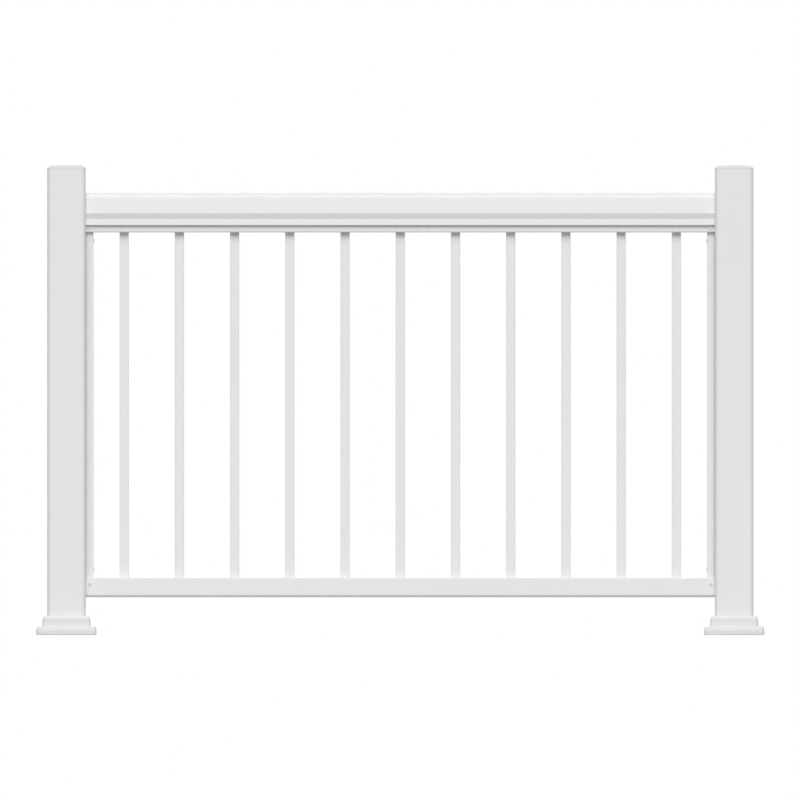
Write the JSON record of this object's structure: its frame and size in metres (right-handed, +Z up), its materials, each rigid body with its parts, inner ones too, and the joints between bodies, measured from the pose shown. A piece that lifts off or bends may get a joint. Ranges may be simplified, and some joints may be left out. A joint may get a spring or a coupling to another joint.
{
  "type": "railing section",
  "caption": "White deck railing section: two square posts on bolted base plates with covers, a moulded handrail, a bottom rail and square balusters.",
  "frame": {"origin": "centre of the left post's base plate, on its underside at deck level", "axes": "+X along the railing to the right post, +Y from the front to the back, +Z up"},
  "size_m": [1.507, 0.125, 0.9715],
  "materials": {
    "white_powder_coat": "satin white powder coat on aluminium",
    "white_moulded_cover": "white moulded weatherproof plastic, satin"
  },
  "bodies": {
    "root": {"handrail": "white_powder_coat", "baluster_channel": "white_powder_coat", "bottom_rail": "white_powder_coat", "left_post": "white_powder_coat", "left_post_cap": "white_moulded_cover", "left_base_plate": "white_powder_coat", "left_base_cover": "white_moulded_cover", "left_end_stile": "white_powder_coat", "right_post": "white_powder_coat", "right_post_cap": "white_moulded_cover", "right_base_plate": "white_powder_coat", "right_base_cover": "white_moulded_cover", "right_end_stile": "white_powder_coat", "baluster_01": "white_powder_coat", "baluster_02": "white_powder_coat", "baluster_03": "white_powder_coat", "baluster_04": "white_powder_coat", "baluster_05": "white_powder_coat", "baluster_06": "white_powder_coat", "baluster_07": "white_powder_coat", "baluster_08": "white_powder_coat", "baluster_09": "white_powder_coat", "baluster_10": "white_powder_coat", "baluster_11": "white_powder_coat"}
  },
  "joints": []
}
